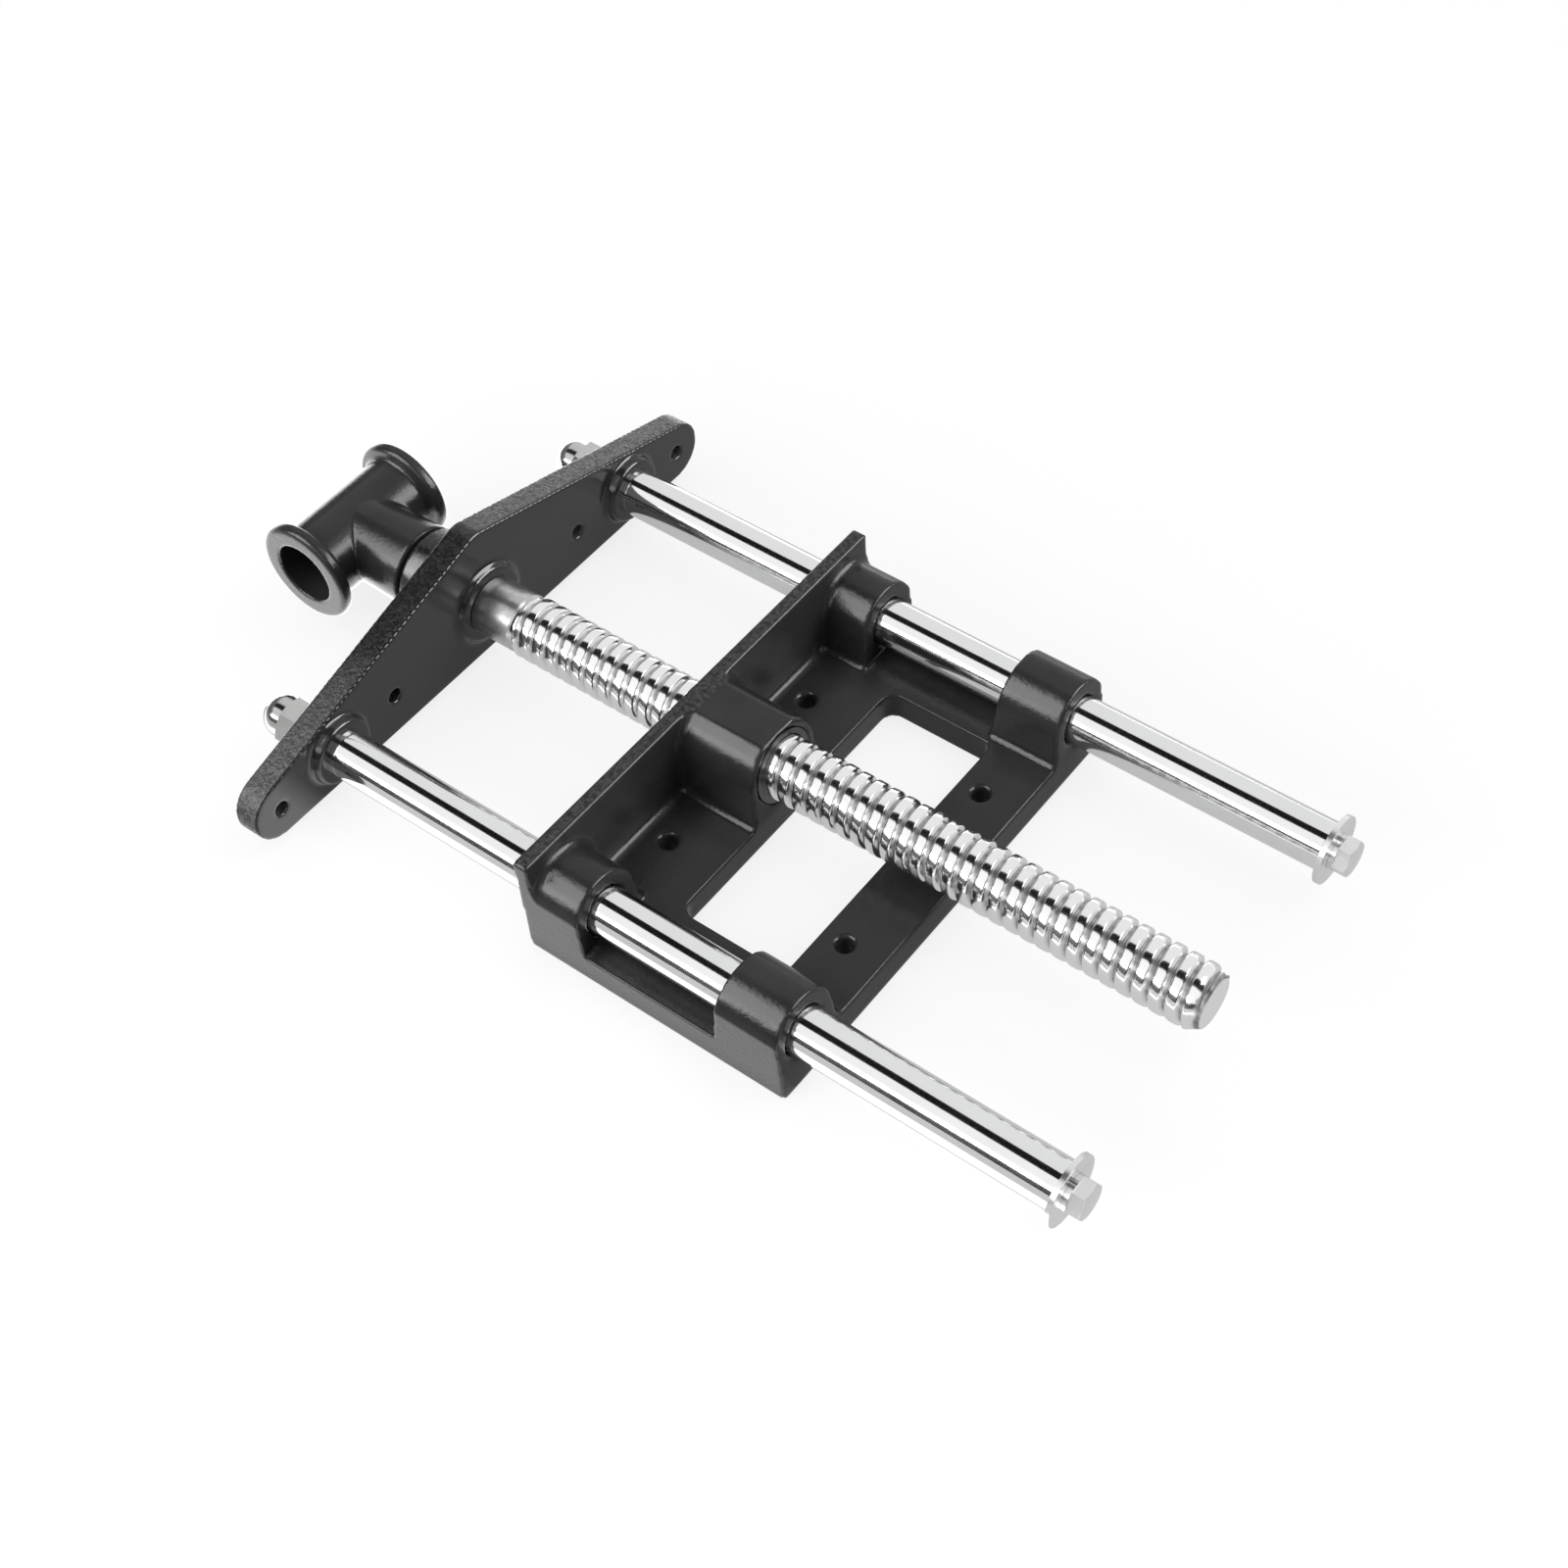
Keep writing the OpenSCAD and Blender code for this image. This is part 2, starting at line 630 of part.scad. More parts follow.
module end_bolt(side) color([0.75, 0.76, 0.78])
    translate([rod_end_x + end_washer_t + end_lock_t + fit_gap, side * rod_y, rod_h]) rotate([0, 90, 0]) {
        hexagon(bolt_head_h, bolt_af, false, true);
        translate([0, 0, -bolt_len]) cylinder(h = bolt_len + cut, d = bolt_d, $fn = 48);
    }

module lead_screw() color([0.75, 0.75, 0.75]) {
    trim_d = screw_d + 2 * cut;
    translate([0, 0, screw_h]) difference() {
        union() {
            intersection() {
                thread_solid(thread_x - screw_pitch, tail_x + screw_pitch, root_r, screw_d / 2, 0);
                union() {
                    bar(thread_x, 0, 0, thread_len - tail_chamfer - cut, trim_d);
                    bar(tail_x - tail_chamfer - 2 * cut, 0, 0, tail_chamfer + 2 * cut,
                        screw_d + 4 * cut, screw_d - 2 * tail_chamfer);
                }
            }
            bar(journal_x, 0, 0, journal_len - journal_groove_w, journal_d);
            bar(journal_x, 0, 0, journal_len + sink, journal_d - 2 * journal_groove);
            bar(stem_x - spindle_in_tee, 0, 0, journal_x - stem_x + spindle_in_tee + cut, spindle_d);
        }
        translate([pin_x, 0, -screw_h])
            cylinder(h = screw_h + pin_past_axis + pin_end_gap, d = pin_d + 2 * fit_gap, $fn = 48);
    }
}

module handle_tee() color([0.13, 0.13, 0.14]) {
    half = barrel_len / 2;
    bead_h = bead_d / 2 - barrel_r;
    rim_r = flange_d / 2 - flange_edge_r;
    translate([0, 0, screw_h]) difference() {
        union() {
            translate([tee_x, 0, 0]) rotate([90, 0, 0]) rotate_extrude($fn = 96) polygon(concat(
                [[0, -half], [rim_r, -half]],
                arc(rim_r, flange_edge_r - half, flange_edge_r, -90, 0, fillet_steps),
                arc(rim_r, flange_t - flange_edge_r - half, flange_edge_r, 0, 90, fillet_steps),
                [for (a = [0 : 180 / arc_steps : 180])
                    [barrel_r + bead_h * (1 + cos(a)) / 2, flange_t - half + bead_w * a / 180]],
                [for (a = [180 : -180 / arc_steps : 0])
                    [barrel_r + bead_h * (1 + cos(a)) / 2, half - flange_t - bead_w * a / 180]],
                arc(rim_r, half - flange_t + flange_edge_r, flange_edge_r, -90, 0, fillet_steps),
                arc(rim_r, half - flange_edge_r, flange_edge_r, 0, 90, fillet_steps),
                [[0, half]]
            ));
            bar(tee_x, 0, 0, stem_len - stem_edge, stem_neck_d, stem_d);
            bar(stem_x - stem_edge, 0, 0, stem_edge, stem_d, stem_d - 2 * stem_edge);
        }
        translate([tee_x, 0, 0]) rotate([90, 0, 0])
            cylinder(h = barrel_len + 2 * cut, d = handle_d, center = true, $fn = 96);
        bar(stem_x - spindle_in_tee - spindle_end_gap, 0, 0, spindle_in_tee + spindle_end_gap + cut,
            spindle_d + 2 * fit_gap);
        translate([pin_x, 0, -screw_h]) cylinder(h = screw_h, d = pin_d + 2 * fit_gap, $fn = 48);
    }
}

module hub_pin() color([0.6, 0.6, 0.61]) {
    low = -stem_d / 2 + pin_recess + stem_edge;
    translate([pin_x, 0, screw_h + low])
        cylinder(h = pin_past_axis - low, d = pin_d, $fn = 48);
}

module thrust_washer() color([0.45, 0.45, 0.45])
    translate([0, 0, screw_h]) difference() {
        bar(stem_x + fit_gap, 0, 0, thrust_t - fit_gap, thrust_d);
        bar(stem_x - cut, 0, 0, thrust_t + 2 * cut, spindle_d + 2 * fit_gap);
    }

rear_jaw_casting();
screw_nut();
nut_grub_screw();
front_jaw_casting();
guide_rod(1);  // guide_rod_left
guide_rod(-1);  // guide_rod_right
dome_nut(1);  // dome_nut_left
dome_nut(-1);  // dome_nut_right
lock_washer(jaw_out_x - lock_t, 1, stud_d, lock_d, lock_t);  // front_lock_washer_left
lock_washer(jaw_out_x - lock_t, -1, stud_d, lock_d, lock_t);  // front_lock_washer_right
end_washer(1);  // end_washer_left
end_washer(-1);  // end_washer_right
lock_washer(rod_end_x + end_washer_t, 1, bolt_d, end_lock_d, end_lock_t);  // end_lock_washer_left
lock_washer(rod_end_x + end_washer_t, -1, bolt_d, end_lock_d, end_lock_t);  // end_lock_washer_right
end_bolt(1);  // end_bolt_left
end_bolt(-1);  // end_bolt_right
lead_screw();
handle_tee();
hub_pin();
thrust_washer();
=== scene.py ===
"""Front vise for a woodworking bench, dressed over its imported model."""
import math

import bmesh
import bpy
from mathutils import Matrix, Vector


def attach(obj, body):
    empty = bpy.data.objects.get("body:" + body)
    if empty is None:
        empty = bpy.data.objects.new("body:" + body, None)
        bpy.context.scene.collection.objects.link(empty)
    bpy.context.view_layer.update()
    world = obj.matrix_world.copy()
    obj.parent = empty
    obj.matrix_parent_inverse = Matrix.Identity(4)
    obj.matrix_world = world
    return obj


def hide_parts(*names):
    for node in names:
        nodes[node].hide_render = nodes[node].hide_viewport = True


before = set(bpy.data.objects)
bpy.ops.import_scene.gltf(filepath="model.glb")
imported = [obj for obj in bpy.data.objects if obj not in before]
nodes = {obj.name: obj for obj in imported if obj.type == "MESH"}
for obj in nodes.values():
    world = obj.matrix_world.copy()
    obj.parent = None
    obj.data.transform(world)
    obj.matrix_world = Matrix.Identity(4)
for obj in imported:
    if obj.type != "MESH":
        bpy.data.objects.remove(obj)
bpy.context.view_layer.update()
MM = 0.001
MICRON = 0.000001

# Places of the construction model, in millimetres
ROD_Y = 85.0
ROD_H = 23.0
SCREW_H = 29.0
BASE_HOLE_X = 40.0
BASE_HOLE_Y = 42.0
BASE_FLOOR_H = 12.0
NUT_X = -46.02
STEM_X = -193.9
JOURNAL_X = -159.9
THREAD_X = -140.5
TAIL_X = 163.0

# Lead screw: thread pitch and radii, and how far its spindle reaches into the tee's stem
PITCH = 6.5
SCREW_R = 12.5
ROOT_R = 10.2
TAIL_R = 9.6
SPINDLE_R = 9.45
SHOULDER_R = 11.9
SPINDLE_REACH = 21.9

# Radii that the castings' bores are opened to, just clear of what they hold
ROD_BORE_R = 9.62
NUT_BORE_R = 15.06
STUD_BORE_R = 6.06
SPINDLE_BORE_R = 9.56

# Stretches along X in which those bores lie
REAR_SPAN = (-62.0, 60.0)
NUT_SPAN = (NUT_X - 0.05, 0.0)
SEAT_SPAN = (-176.0, -150.0)
HUB_SPAN = (-195.0, -150.0)
STEM_SPAN = (-217.0, -190.0)

# The screw holes' painted shade, a less shiny copy of the enamel, reaches this far from their axes
HOLE_SHADE_R = 3.45

# The rear plate's top edge is left as cast: above this height and in front of this place
CAST_TOP_H = 44.4
PLATE_X = -51.0

# The front jaw's cast edge gets darker with painted shade, and calmer, from its near end to its crown
NEAR_END_Y = -112.0
DARK_FROM_Y = -55.0
CROWN_Y = 8.0

# Rounds of smoothing that soften a casting's edges
SOFT_ROUNDS = 5

# Flats in one turn of the thread, and in one turn of a turned solid
THREAD_STEPS = 56
TURNED_STEPS = 96

# Points closer than this are one point, in metres: in a new shape, and in a casting's copy
MERGE = 0.00001
CAST_MERGE = 0.000001

# Middle of the vise, floor and cards, in metres
VISE_MIDDLE = (-0.02, 0, 0.02)
FLOOR_END = 6.0
FLOOR_H = -0.0006
LONG_END = 4.0
SIDE_END = 3.0
SIDE_TOP = 2.2
STRIP_FAR = 0.46
STRIP_H = 2.4


# Node helpers for the materials
def new_material(name):
    mat = bpy.data.materials.new(name)
    mat.use_nodes = True
    tree = mat.node_tree
    shader = tree.nodes["Principled BSDF"]
    return mat, tree, shader


def add_node(tree, kind, **settings):
    node = tree.nodes.new(kind)
    for key, value in settings.items():
        setattr(node, key, value)
    return node


def place_coords(tree, scale=(1, 1, 1)):
    coords = add_node(tree, "ShaderNodeTexCoord")
    mapping = add_node(tree, "ShaderNodeMapping")
    mapping.inputs["Scale"].default_value = scale
    tree.links.new(coords.outputs["Object"], mapping.inputs["Vector"])
    return mapping.outputs["Vector"]


def surface_normal(tree):
    return add_node(tree, "ShaderNodeTexCoord").outputs["Normal"]


def noise_fac(tree, vector, scale, detail=4.0, roughness=0.55):
    tex = add_node(tree, "ShaderNodeTexNoise")
    tex.inputs["Scale"].default_value = scale
    tex.inputs["Detail"].default_value = detail
    tex.inputs["Roughness"].default_value = roughness
    tree.links.new(vector, tex.inputs["Vector"])
    return tex.outputs["Fac"]


def ramp(tree, fac, stops):
    """Stops are pairs of a place and a colour or a grey."""
    node = add_node(tree, "ShaderNodeValToRGB")
    while len(node.color_ramp.elements) < len(stops):
        node.color_ramp.elements.new(0.5)
    for element, (place, value) in zip(node.color_ramp.elements, stops):
        element.position = place
        if isinstance(value, float):
            value = (value, value, value)
        element.color = (*value, 1.0)
    tree.links.new(fac, node.inputs["Fac"])
    return node.outputs["Color"]


def bump(tree, shader, height, distance, normal=None):
    """Raises the surface by a height of 0 to 1 times a distance in metres, on top of another bump."""
    node = add_node(tree, "ShaderNodeBump")
    node.inputs["Strength"].default_value = 1.0
    node.inputs["Distance"].default_value = distance
    tree.links.new(height, node.inputs["Height"])
    if normal is not None:
        tree.links.new(normal, node.inputs["Normal"])
    tree.links.new(node.outputs["Normal"], shader.inputs["Normal"])
    return node.outputs["Normal"]


def blend(tree, fac, low, high):
    """A value or a colour between two others."""
    node = add_node(tree, "ShaderNodeMix", data_type="RGBA")
    tree.links.new(fac, node.inputs[0])
    for socket, value in ((node.inputs[6], low), (node.inputs[7], high)):
        if isinstance(value, float):
            socket.default_value = (value, value, value, 1.0)
        else:
            tree.links.new(value, socket)
    return node.outputs[2]


def rising(tree, value, low, high):
    """Rises from 0 to 1 as a value goes from low to high."""
    node = add_node(tree, "ShaderNodeMapRange")
    node.inputs["From Min"].default_value = low
    node.inputs["From Max"].default_value = high
    tree.links.new(value, node.inputs["Value"])
    return node.outputs["Result"]


def axis_step(tree, vector, axis, low, high):
    """Rises from 0 to 1 as one coordinate goes from low to high."""
    split = add_node(tree, "ShaderNodeSeparateXYZ")
    tree.links.new(vector, split.inputs[0])
    return rising(tree, split.outputs[axis], low, high)


def calculate(tree, operation, *values):
    """One step of arithmetic: each value is a number or another node's output."""
    node = add_node(tree, "ShaderNodeMath", operation=operation)
    for socket, value in zip(node.inputs, values):
        if isinstance(value, float):
            socket.default_value = value
        else:
            tree.links.new(value, socket)
    return node.outputs[0]


def product(tree, first, *others):
    """All the values multiplied, so 1 only where each of them is."""
    for other in others:
        first = calculate(tree, "MULTIPLY", first, other)
    return first


# Satin black enamel over sand-cast iron
def paint_material(name, grain_height, grain_scale, ior=1.31, cast_top=False):
    """With cast_top, the level top edge of the jaw plate is rough and speckled as cast."""
    mat, tree, shader = new_material(name)
    vector = place_coords(tree)
    broad = noise_fac(tree, vector, scale=45.0, detail=3.0)
    grain = noise_fac(tree, vector, grain_scale, detail=5.0, roughness=0.6)
    fine = noise_fac(tree, vector, scale=2600.0, detail=2.0)
    colour = ramp(tree, broad, [(0.3, (0.009, 0.009, 0.0093)), (0.7, (0.013, 0.013, 0.0133))])
    rough = ramp(tree, grain, [(0.3, 0.12), (0.7, 0.21)])
    if cast_top:
        high = axis_step(tree, vector, "Z", CAST_TOP_H * MM, (CAST_TOP_H + 0.5) * MM)
        plate = axis_step(tree, vector, "X", (PLATE_X + 0.5) * MM, (PLATE_X - 0.5) * MM)
        level = axis_step(tree, surface_normal(tree), "Z", 0.93, 0.985)
        cast = product(tree, high, plate, level)
        speck = ramp(tree, grain, [(0.38, 0.004), (0.66, (0.026, 0.026, 0.027))])
        colour = blend(tree, cast, colour, speck)
        rough = blend(tree, cast, rough, 0.4)
    tree.links.new(colour, shader.inputs["Base Color"])
    tree.links.new(rough, shader.inputs["Roughness"])
    shader.inputs["IOR"].default_value = ior
    grained = bump(tree, shader, grain, grain_height)
    bump(tree, shader, fine, 12 * MICRON, grained)
    return mat


# The front jaw: a machined inner face, and rough cast edges all round it
def jaw_material(name):
    mat, tree, shader = new_material(name)
    vector = place_coords(tree)
    not_inward = axis_step(tree, surface_normal(tree), "X", 0.35, 0.15)
    not_outward = axis_step(tree, surface_normal(tree), "X", -0.35, -0.15)
    cast = product(tree, not_inward, not_outward)
    # Painted shade on the cast edge from its near end to its crown, where its roughness and grain are also
    # calmer
    before_crown = axis_step(tree, vector, "Y", CROWN_Y * MM, 0.0)
    past_end = axis_step(tree, vector, "Y", NEAR_END_Y * MM, DARK_FROM_Y * MM)
    shade_and_calm = product(tree, before_crown, past_end)

    grain = noise_fac(tree, vector, scale=620.0, detail=6.0, roughness=0.65)
    mottle = ramp(tree, grain, [(0.40, 0.004), (0.62, (0.036, 0.036, 0.037))])
    # Painted shade: the darker mottle of that stretch
    shaded_mottle = ramp(tree, grain, [(0.42, 0.002), (0.66, 0.014)])
    colour = blend(tree, cast, 0.008, blend(tree, shade_and_calm, mottle, shaded_mottle))
    tree.links.new(colour, shader.inputs["Base Color"])

    cast_rough = ramp(tree, grain, [(0.35, 0.50), (0.65, 0.28)])
    rough = blend(tree, cast, 0.14, blend(tree, shade_and_calm, cast_rough, 0.20))
    tree.links.new(rough, shader.inputs["Roughness"])
    shader.inputs["IOR"].default_value = 1.46

    calm_grain = ramp(tree, grain, [(0.0, 0.42), (1.0, 0.58)])
    height = blend(tree, cast, 0.5, blend(tree, shade_and_calm, grain, calm_grain))
    bump(tree, shader, height, 600 * MICRON)
    return mat


# Metals: a colour with duller spots, a range of roughness, and fine turning lines
def metal_material(name, colour, spot, rough, line_scale, line_height):
    mat, tree, shader = new_material(name)
    lines = noise_fac(tree, place_coords(tree, line_scale), scale=1.0, detail=3.0, roughness=0.6)
    cloud = noise_fac(tree, place_coords(tree), scale=60.0)
    dull = tuple(channel * (1.0 - spot) for channel in colour)
    tint = ramp(tree, cloud, [(0.35, dull), (0.6, colour)])
    tree.links.new(tint, shader.inputs["Base Color"])
    tree.links.new(ramp(tree, cloud, [(0.3, rough[0]), (0.7, rough[1])]), shader.inputs["Roughness"])
    shader.inputs["Metallic"].default_value = 1.0
    bump(tree, shader, lines, line_height)
    return mat


# Bright zinc on the thread's crests, with painted shade darkening its roots, which are also rougher
def screw_material(name):
    mat, tree, shader = new_material(name)
    vector = place_coords(tree)
    split = add_node(tree, "ShaderNodeSeparateXYZ")
    tree.links.new(vector, split.inputs[0])
    across = add_node(tree, "ShaderNodeCombineXYZ")
    tree.links.new(split.outputs["Y"], across.inputs["X"])
    tree.links.new(calculate(tree, "SUBTRACT", split.outputs["Z"], SCREW_H * MM), across.inputs["Y"])
    radius = add_node(tree, "ShaderNodeVectorMath", operation="LENGTH")
    tree.links.new(across.outputs[0], radius.inputs[0])
    crest = rising(tree, radius.outputs["Value"], (ROOT_R + 0.15) * MM, (SCREW_R - 0.15) * MM)

    cloud = noise_fac(tree, vector, scale=300.0, roughness=0.6)
    out_of_root_shade = calculate(tree, "MULTIPLY_ADD", cloud, 0.5, crest)
    plain = axis_step(tree, vector, "X", (THREAD_X + 0.1) * MM, (THREAD_X - 0.1) * MM)
    tail = axis_step(tree, vector, "X", (TAIL_X - 0.3) * MM, (TAIL_X - 0.1) * MM)
    # Painted shade: the thread's roots are painted dark grey, its crests bright
    threaded = ramp(tree, out_of_root_shade, [(0.16, 0.22), (0.30, 0.50), (0.50, 0.88), (1.0, 0.94)])
    brushed = ramp(tree, cloud, [(0.3, 0.50), (0.7, 0.74)])
    tint = blend(tree, tail, blend(tree, plain, threaded, brushed), 0.93)
    tree.links.new(tint, shader.inputs["Base Color"])

    rough = ramp(tree, out_of_root_shade, [(0.3, 0.34), (0.8, 0.13)])
    unthreaded = calculate(tree, "MAXIMUM", plain, tail)
    tree.links.new(blend(tree, unthreaded, rough, 0.32), shader.inputs["Roughness"])
    shader.inputs["Metallic"].default_value = 1.0
    bump(tree, shader, cloud, 40 * MICRON)
    return mat


PAINT = paint_material("black_enamel", 100 * MICRON, 700.0)
PAINT_REAR = paint_material("black_enamel_rear", 120 * MICRON, 620.0, cast_top=True)
PAINT_JAW = jaw_material("black_enamel_jaw")
# Painted shade: a less shiny copy of the enamel that darkens the screw holes' walls
PAINT_HOLE_SHADE = paint_material("black_enamel_shaded_in_holes", 220 * MICRON, 520.0, ior=1.1)
SCREW_METAL = screw_material("bright_screw")
CHROME = metal_material(
    "chrome_bar", colour=(0.87, 0.875, 0.88), spot=0.03, rough=(0.08, 0.12),
    line_scale=(9000.0, 40.0, 40.0), line_height=1.5 * MICRON,
)
NICKEL = metal_material(
    "nickel_nut", colour=(0.62, 0.615, 0.61), spot=0.12, rough=(0.14, 0.24),
    line_scale=(700.0, 700.0, 700.0), line_height=8 * MICRON,
)
ZINC = metal_material(
    "pale_zinc", colour=(0.88, 0.88, 0.885), spot=0.10, rough=(0.22, 0.34),
    line_scale=(700.0, 700.0, 700.0), line_height=12 * MICRON,
)
DARK = metal_material(
    "oiled_steel", colour=(0.14, 0.14, 0.145), spot=0.20, rough=(0.30, 0.45),
    line_scale=(1200.0, 1200.0, 1200.0), line_height=10 * MICRON,
)


# Mesh helpers
def link(obj):
    bpy.context.scene.collection.objects.link(obj)
    return obj


def baked(obj):
    """Puts the result of an object's modifiers into its mesh."""
    graph = bpy.context.evaluated_depsgraph_get()
    mesh = bpy.data.meshes.new_from_object(obj.evaluated_get(graph))
    obj.modifiers.clear()
    obj.data = mesh
    return obj


def cast_copy(node, voxel):
    """A copy of a CAD node with every edge rounded as a sand casting's edges are."""
    mesh = nodes[node].data.copy()
    mesh.materials.clear()
    obj = link(bpy.data.objects.new(node + "_cast", mesh))
    shape = bmesh.new()
    shape.from_mesh(mesh)
    bmesh.ops.remove_doubles(shape, verts=shape.verts, dist=CAST_MERGE)
    shape.to_mesh(mesh)
    shape.free()
    remesh = obj.modifiers.new("remesh", "REMESH")
    remesh.mode = "VOXEL"
    remesh.voxel_size = voxel * MM
    soften = obj.modifiers.new("soften", "SMOOTH")
    soften.factor = 0.5
    soften.iterations = SOFT_ROUNDS
    return baked(obj)


def push_out(obj, y, z, radius, span):
    """Moves the points near a bore about an X axis out to its radius."""
    for vert in obj.data.vertices:
        x, dy, dz = vert.co.x / MM, vert.co.y / MM - y, vert.co.z / MM - z
        reach = math.hypot(dy, dz)
        if span[0] <= x <= span[1] and 0.01 < reach < radius:
            vert.co.y = (y + dy * radius / reach) * MM
            vert.co.z = (z + dz * radius / reach) * MM


def thin_out(obj, share):
    """Joins small faces, most of them on the flats, down to a share of their number."""
    thin = obj.modifiers.new("thin", "DECIMATE")
    thin.ratio = share
    baked(obj)
    for poly in obj.data.polygons:
        poly.use_smooth = True


def finish_piece(obj, mat, body, node):
    """Gives a piece its material, puts it under its body, and hides the CAD node it stands for."""
    obj.data.materials.clear()
    obj.data.materials.append(mat)
    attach(obj, body)
    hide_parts(node)


def darken_holes(obj, centres, radius, top):
    """Gives the walls of the upright screw holes a less shiny copy of the paint, as painted shade that
    darkens them.
    """
    obj.data.materials.append(PAINT_HOLE_SHADE)
    for poly in obj.data.polygons:
        x, y, z = (value / MM for value in poly.center)
        if z < top and any(math.hypot(x - cx, y - cy) < radius for cx, cy in centres):
            poly.material_index = 1


# Rear casting, with its rod bores and the nut's bore in the middle boss
def rear_casting():
    casting = cast_copy("rear_jaw_casting", voxel=0.8)
    for side in (-1, 1):
        push_out(casting, side * ROD_Y, ROD_H, ROD_BORE_R, REAR_SPAN)
    push_out(casting, 0, SCREW_H, NUT_BORE_R, NUT_SPAN)
    thin_out(casting, 0.75)
    finish_piece(casting, PAINT_REAR, "rear_jaw", "rear_jaw_casting")
    holes = [(x, y) for x in (-BASE_HOLE_X, BASE_HOLE_X) for y in (-BASE_HOLE_Y, BASE_HOLE_Y)]
    darken_holes(casting, holes, HOLE_SHADE_R, BASE_FLOOR_H)
    return casting


# Front jaw, with the holes of the rods' studs and the spindle's bore
def front_jaw():
    casting = cast_copy("front_jaw_casting", voxel=0.75)
    for side in (-1, 1):
        push_out(casting, side * ROD_Y, ROD_H, STUD_BORE_R, SEAT_SPAN)
    push_out(casting, 0, SCREW_H, SPINDLE_BORE_R, HUB_SPAN)
    thin_out(casting, 0.8)
    finish_piece(casting, PAINT_JAW, "moving_jaw", "front_jaw_casting")
    return casting


# Handle tee, with the spindle's bore in its stem
def handle_tee():
    casting = cast_copy("handle_tee", voxel=0.6)
    push_out(casting, 0, SCREW_H, SPINDLE_BORE_R, STEM_SPAN)
    thin_out(casting, 0.8)
    finish_piece(casting, PAINT, "screw", "handle_tee")
    return casting


# Lead screw, with a rolled thread of rounded crests and roots
def thread_profile():
    """One pitch of the thread: place from the crest's middle, then radius, in millimetres."""
    crest = PITCH * 0.32
    foot = crest + PITCH * 0.10
    rise = SCREW_R - ROOT_R
    root = [(-PITCH / 2, ROOT_R), (-foot - 0.25, ROOT_R + 0.02 * rise)]
    flank = [(-foot + 0.15, ROOT_R + 0.24 * rise), (-crest - 0.12, SCREW_R - 0.26 * rise)]
    top = [(-crest + 0.2, SCREW_R - 0.07 * rise), (-crest + 0.85, SCREW_R)]
    points = root + flank + top
    return points + [(-x, r) for x, r in reversed(points)]


def profile_line(shape, points):
    """A line of points, each a place along the axis and a radius."""
    verts = [shape.verts.new((x * MM, r * MM, 0.0)) for x, r in points]
    edges = [shape.edges.new(pair) for pair in zip(verts, verts[1:])]
    return verts + edges


def smooth_faces(shape):
    for face in shape.faces:
        face.smooth = True


def thread_shell(shape):
    """The thread, wound past both ends, faded at its start, tapered at its tail and cut."""
    first_turn = math.floor(THREAD_X / PITCH) - 1
    points = [(PITCH * first_turn + x, r) for x, r in thread_profile()]
    bmesh.ops.spin(
        shape, geom=profile_line(shape, points), cent=(0, 0, 0), axis=(1, 0, 0),
        dvec=(PITCH / THREAD_STEPS * MM, 0, 0), angle=2 * math.pi, steps=THREAD_STEPS,
    )
    one_turn = bpy.data.meshes.new("one_turn")
    shape.to_mesh(one_turn)
    shape.clear()
    thread = link(bpy.data.objects.new("thread", one_turn))
    repeat = thread.modifiers.new("repeat", "ARRAY")
    repeat.count = math.ceil(TAIL_X / PITCH) + 1 - first_turn
    repeat.use_relative_offset = False
    repeat.use_constant_offset = True
    repeat.constant_offset_displace = (PITCH * MM, 0, 0)
    shape.from_mesh(baked(thread).data)
    bpy.data.objects.remove(thread)
    bmesh.ops.remove_doubles(shape, verts=shape.verts, dist=MERGE)
    smooth_faces(shape)

    for vert in shape.verts:
        x = vert.co.x / MM
        r = math.hypot(vert.co.y, vert.co.z) / MM
        faded = ROOT_R + 0.6 + (x - THREAD_X) * 1.6
        tapered = TAIL_R + (TAIL_X - x) * 0.55
        limit = min(faded, tapered)
        if r > limit and THREAD_X - 1 < x < TAIL_X + 1:
            vert.co.y *= limit / r
            vert.co.z *= limit / r

    for place, outward in ((THREAD_X, -1), (TAIL_X - 0.6, 1)):
        cut = bmesh.ops.bisect_plane(
            shape, geom=shape.verts[:] + shape.edges[:] + shape.faces[:],
            plane_co=(place * MM, 0, 0), plane_no=(outward, 0, 0), clear_outer=True,
        )
        rim = [item for item in cut["geom_cut"] if isinstance(item, bmesh.types.BMEdge)]
        bmesh.ops.edgeloop_fill(shape, edges=rim)


def turned(shape, points):
    """A turned solid about the axis, closed by points on it at both ends."""
    points = [(points[0][0], 0.0)] + points + [(points[-1][0], 0.0)]
    bmesh.ops.spin(
        shape, geom=profile_line(shape, points), cent=(0, 0, 0), axis=(1, 0, 0),
        angle=2 * math.pi, steps=TURNED_STEPS, use_merge=True,
    )
    bmesh.ops.remove_doubles(shape, verts=shape.verts, dist=MERGE)
    smooth_faces(shape)


def tail_cap(shape):
    """The chamfered end that closes the thread at its tail."""
    inside = [(TAIL_X - 1.2, 9.0), (TAIL_X - 0.6, 9.92)]
    chamfer = [(TAIL_X - 0.25, 9.72), (TAIL_X - 0.05, 9.45)]
    turned(shape, inside + chamfer + [(TAIL_X, 9.2), (TAIL_X, 8.9)])


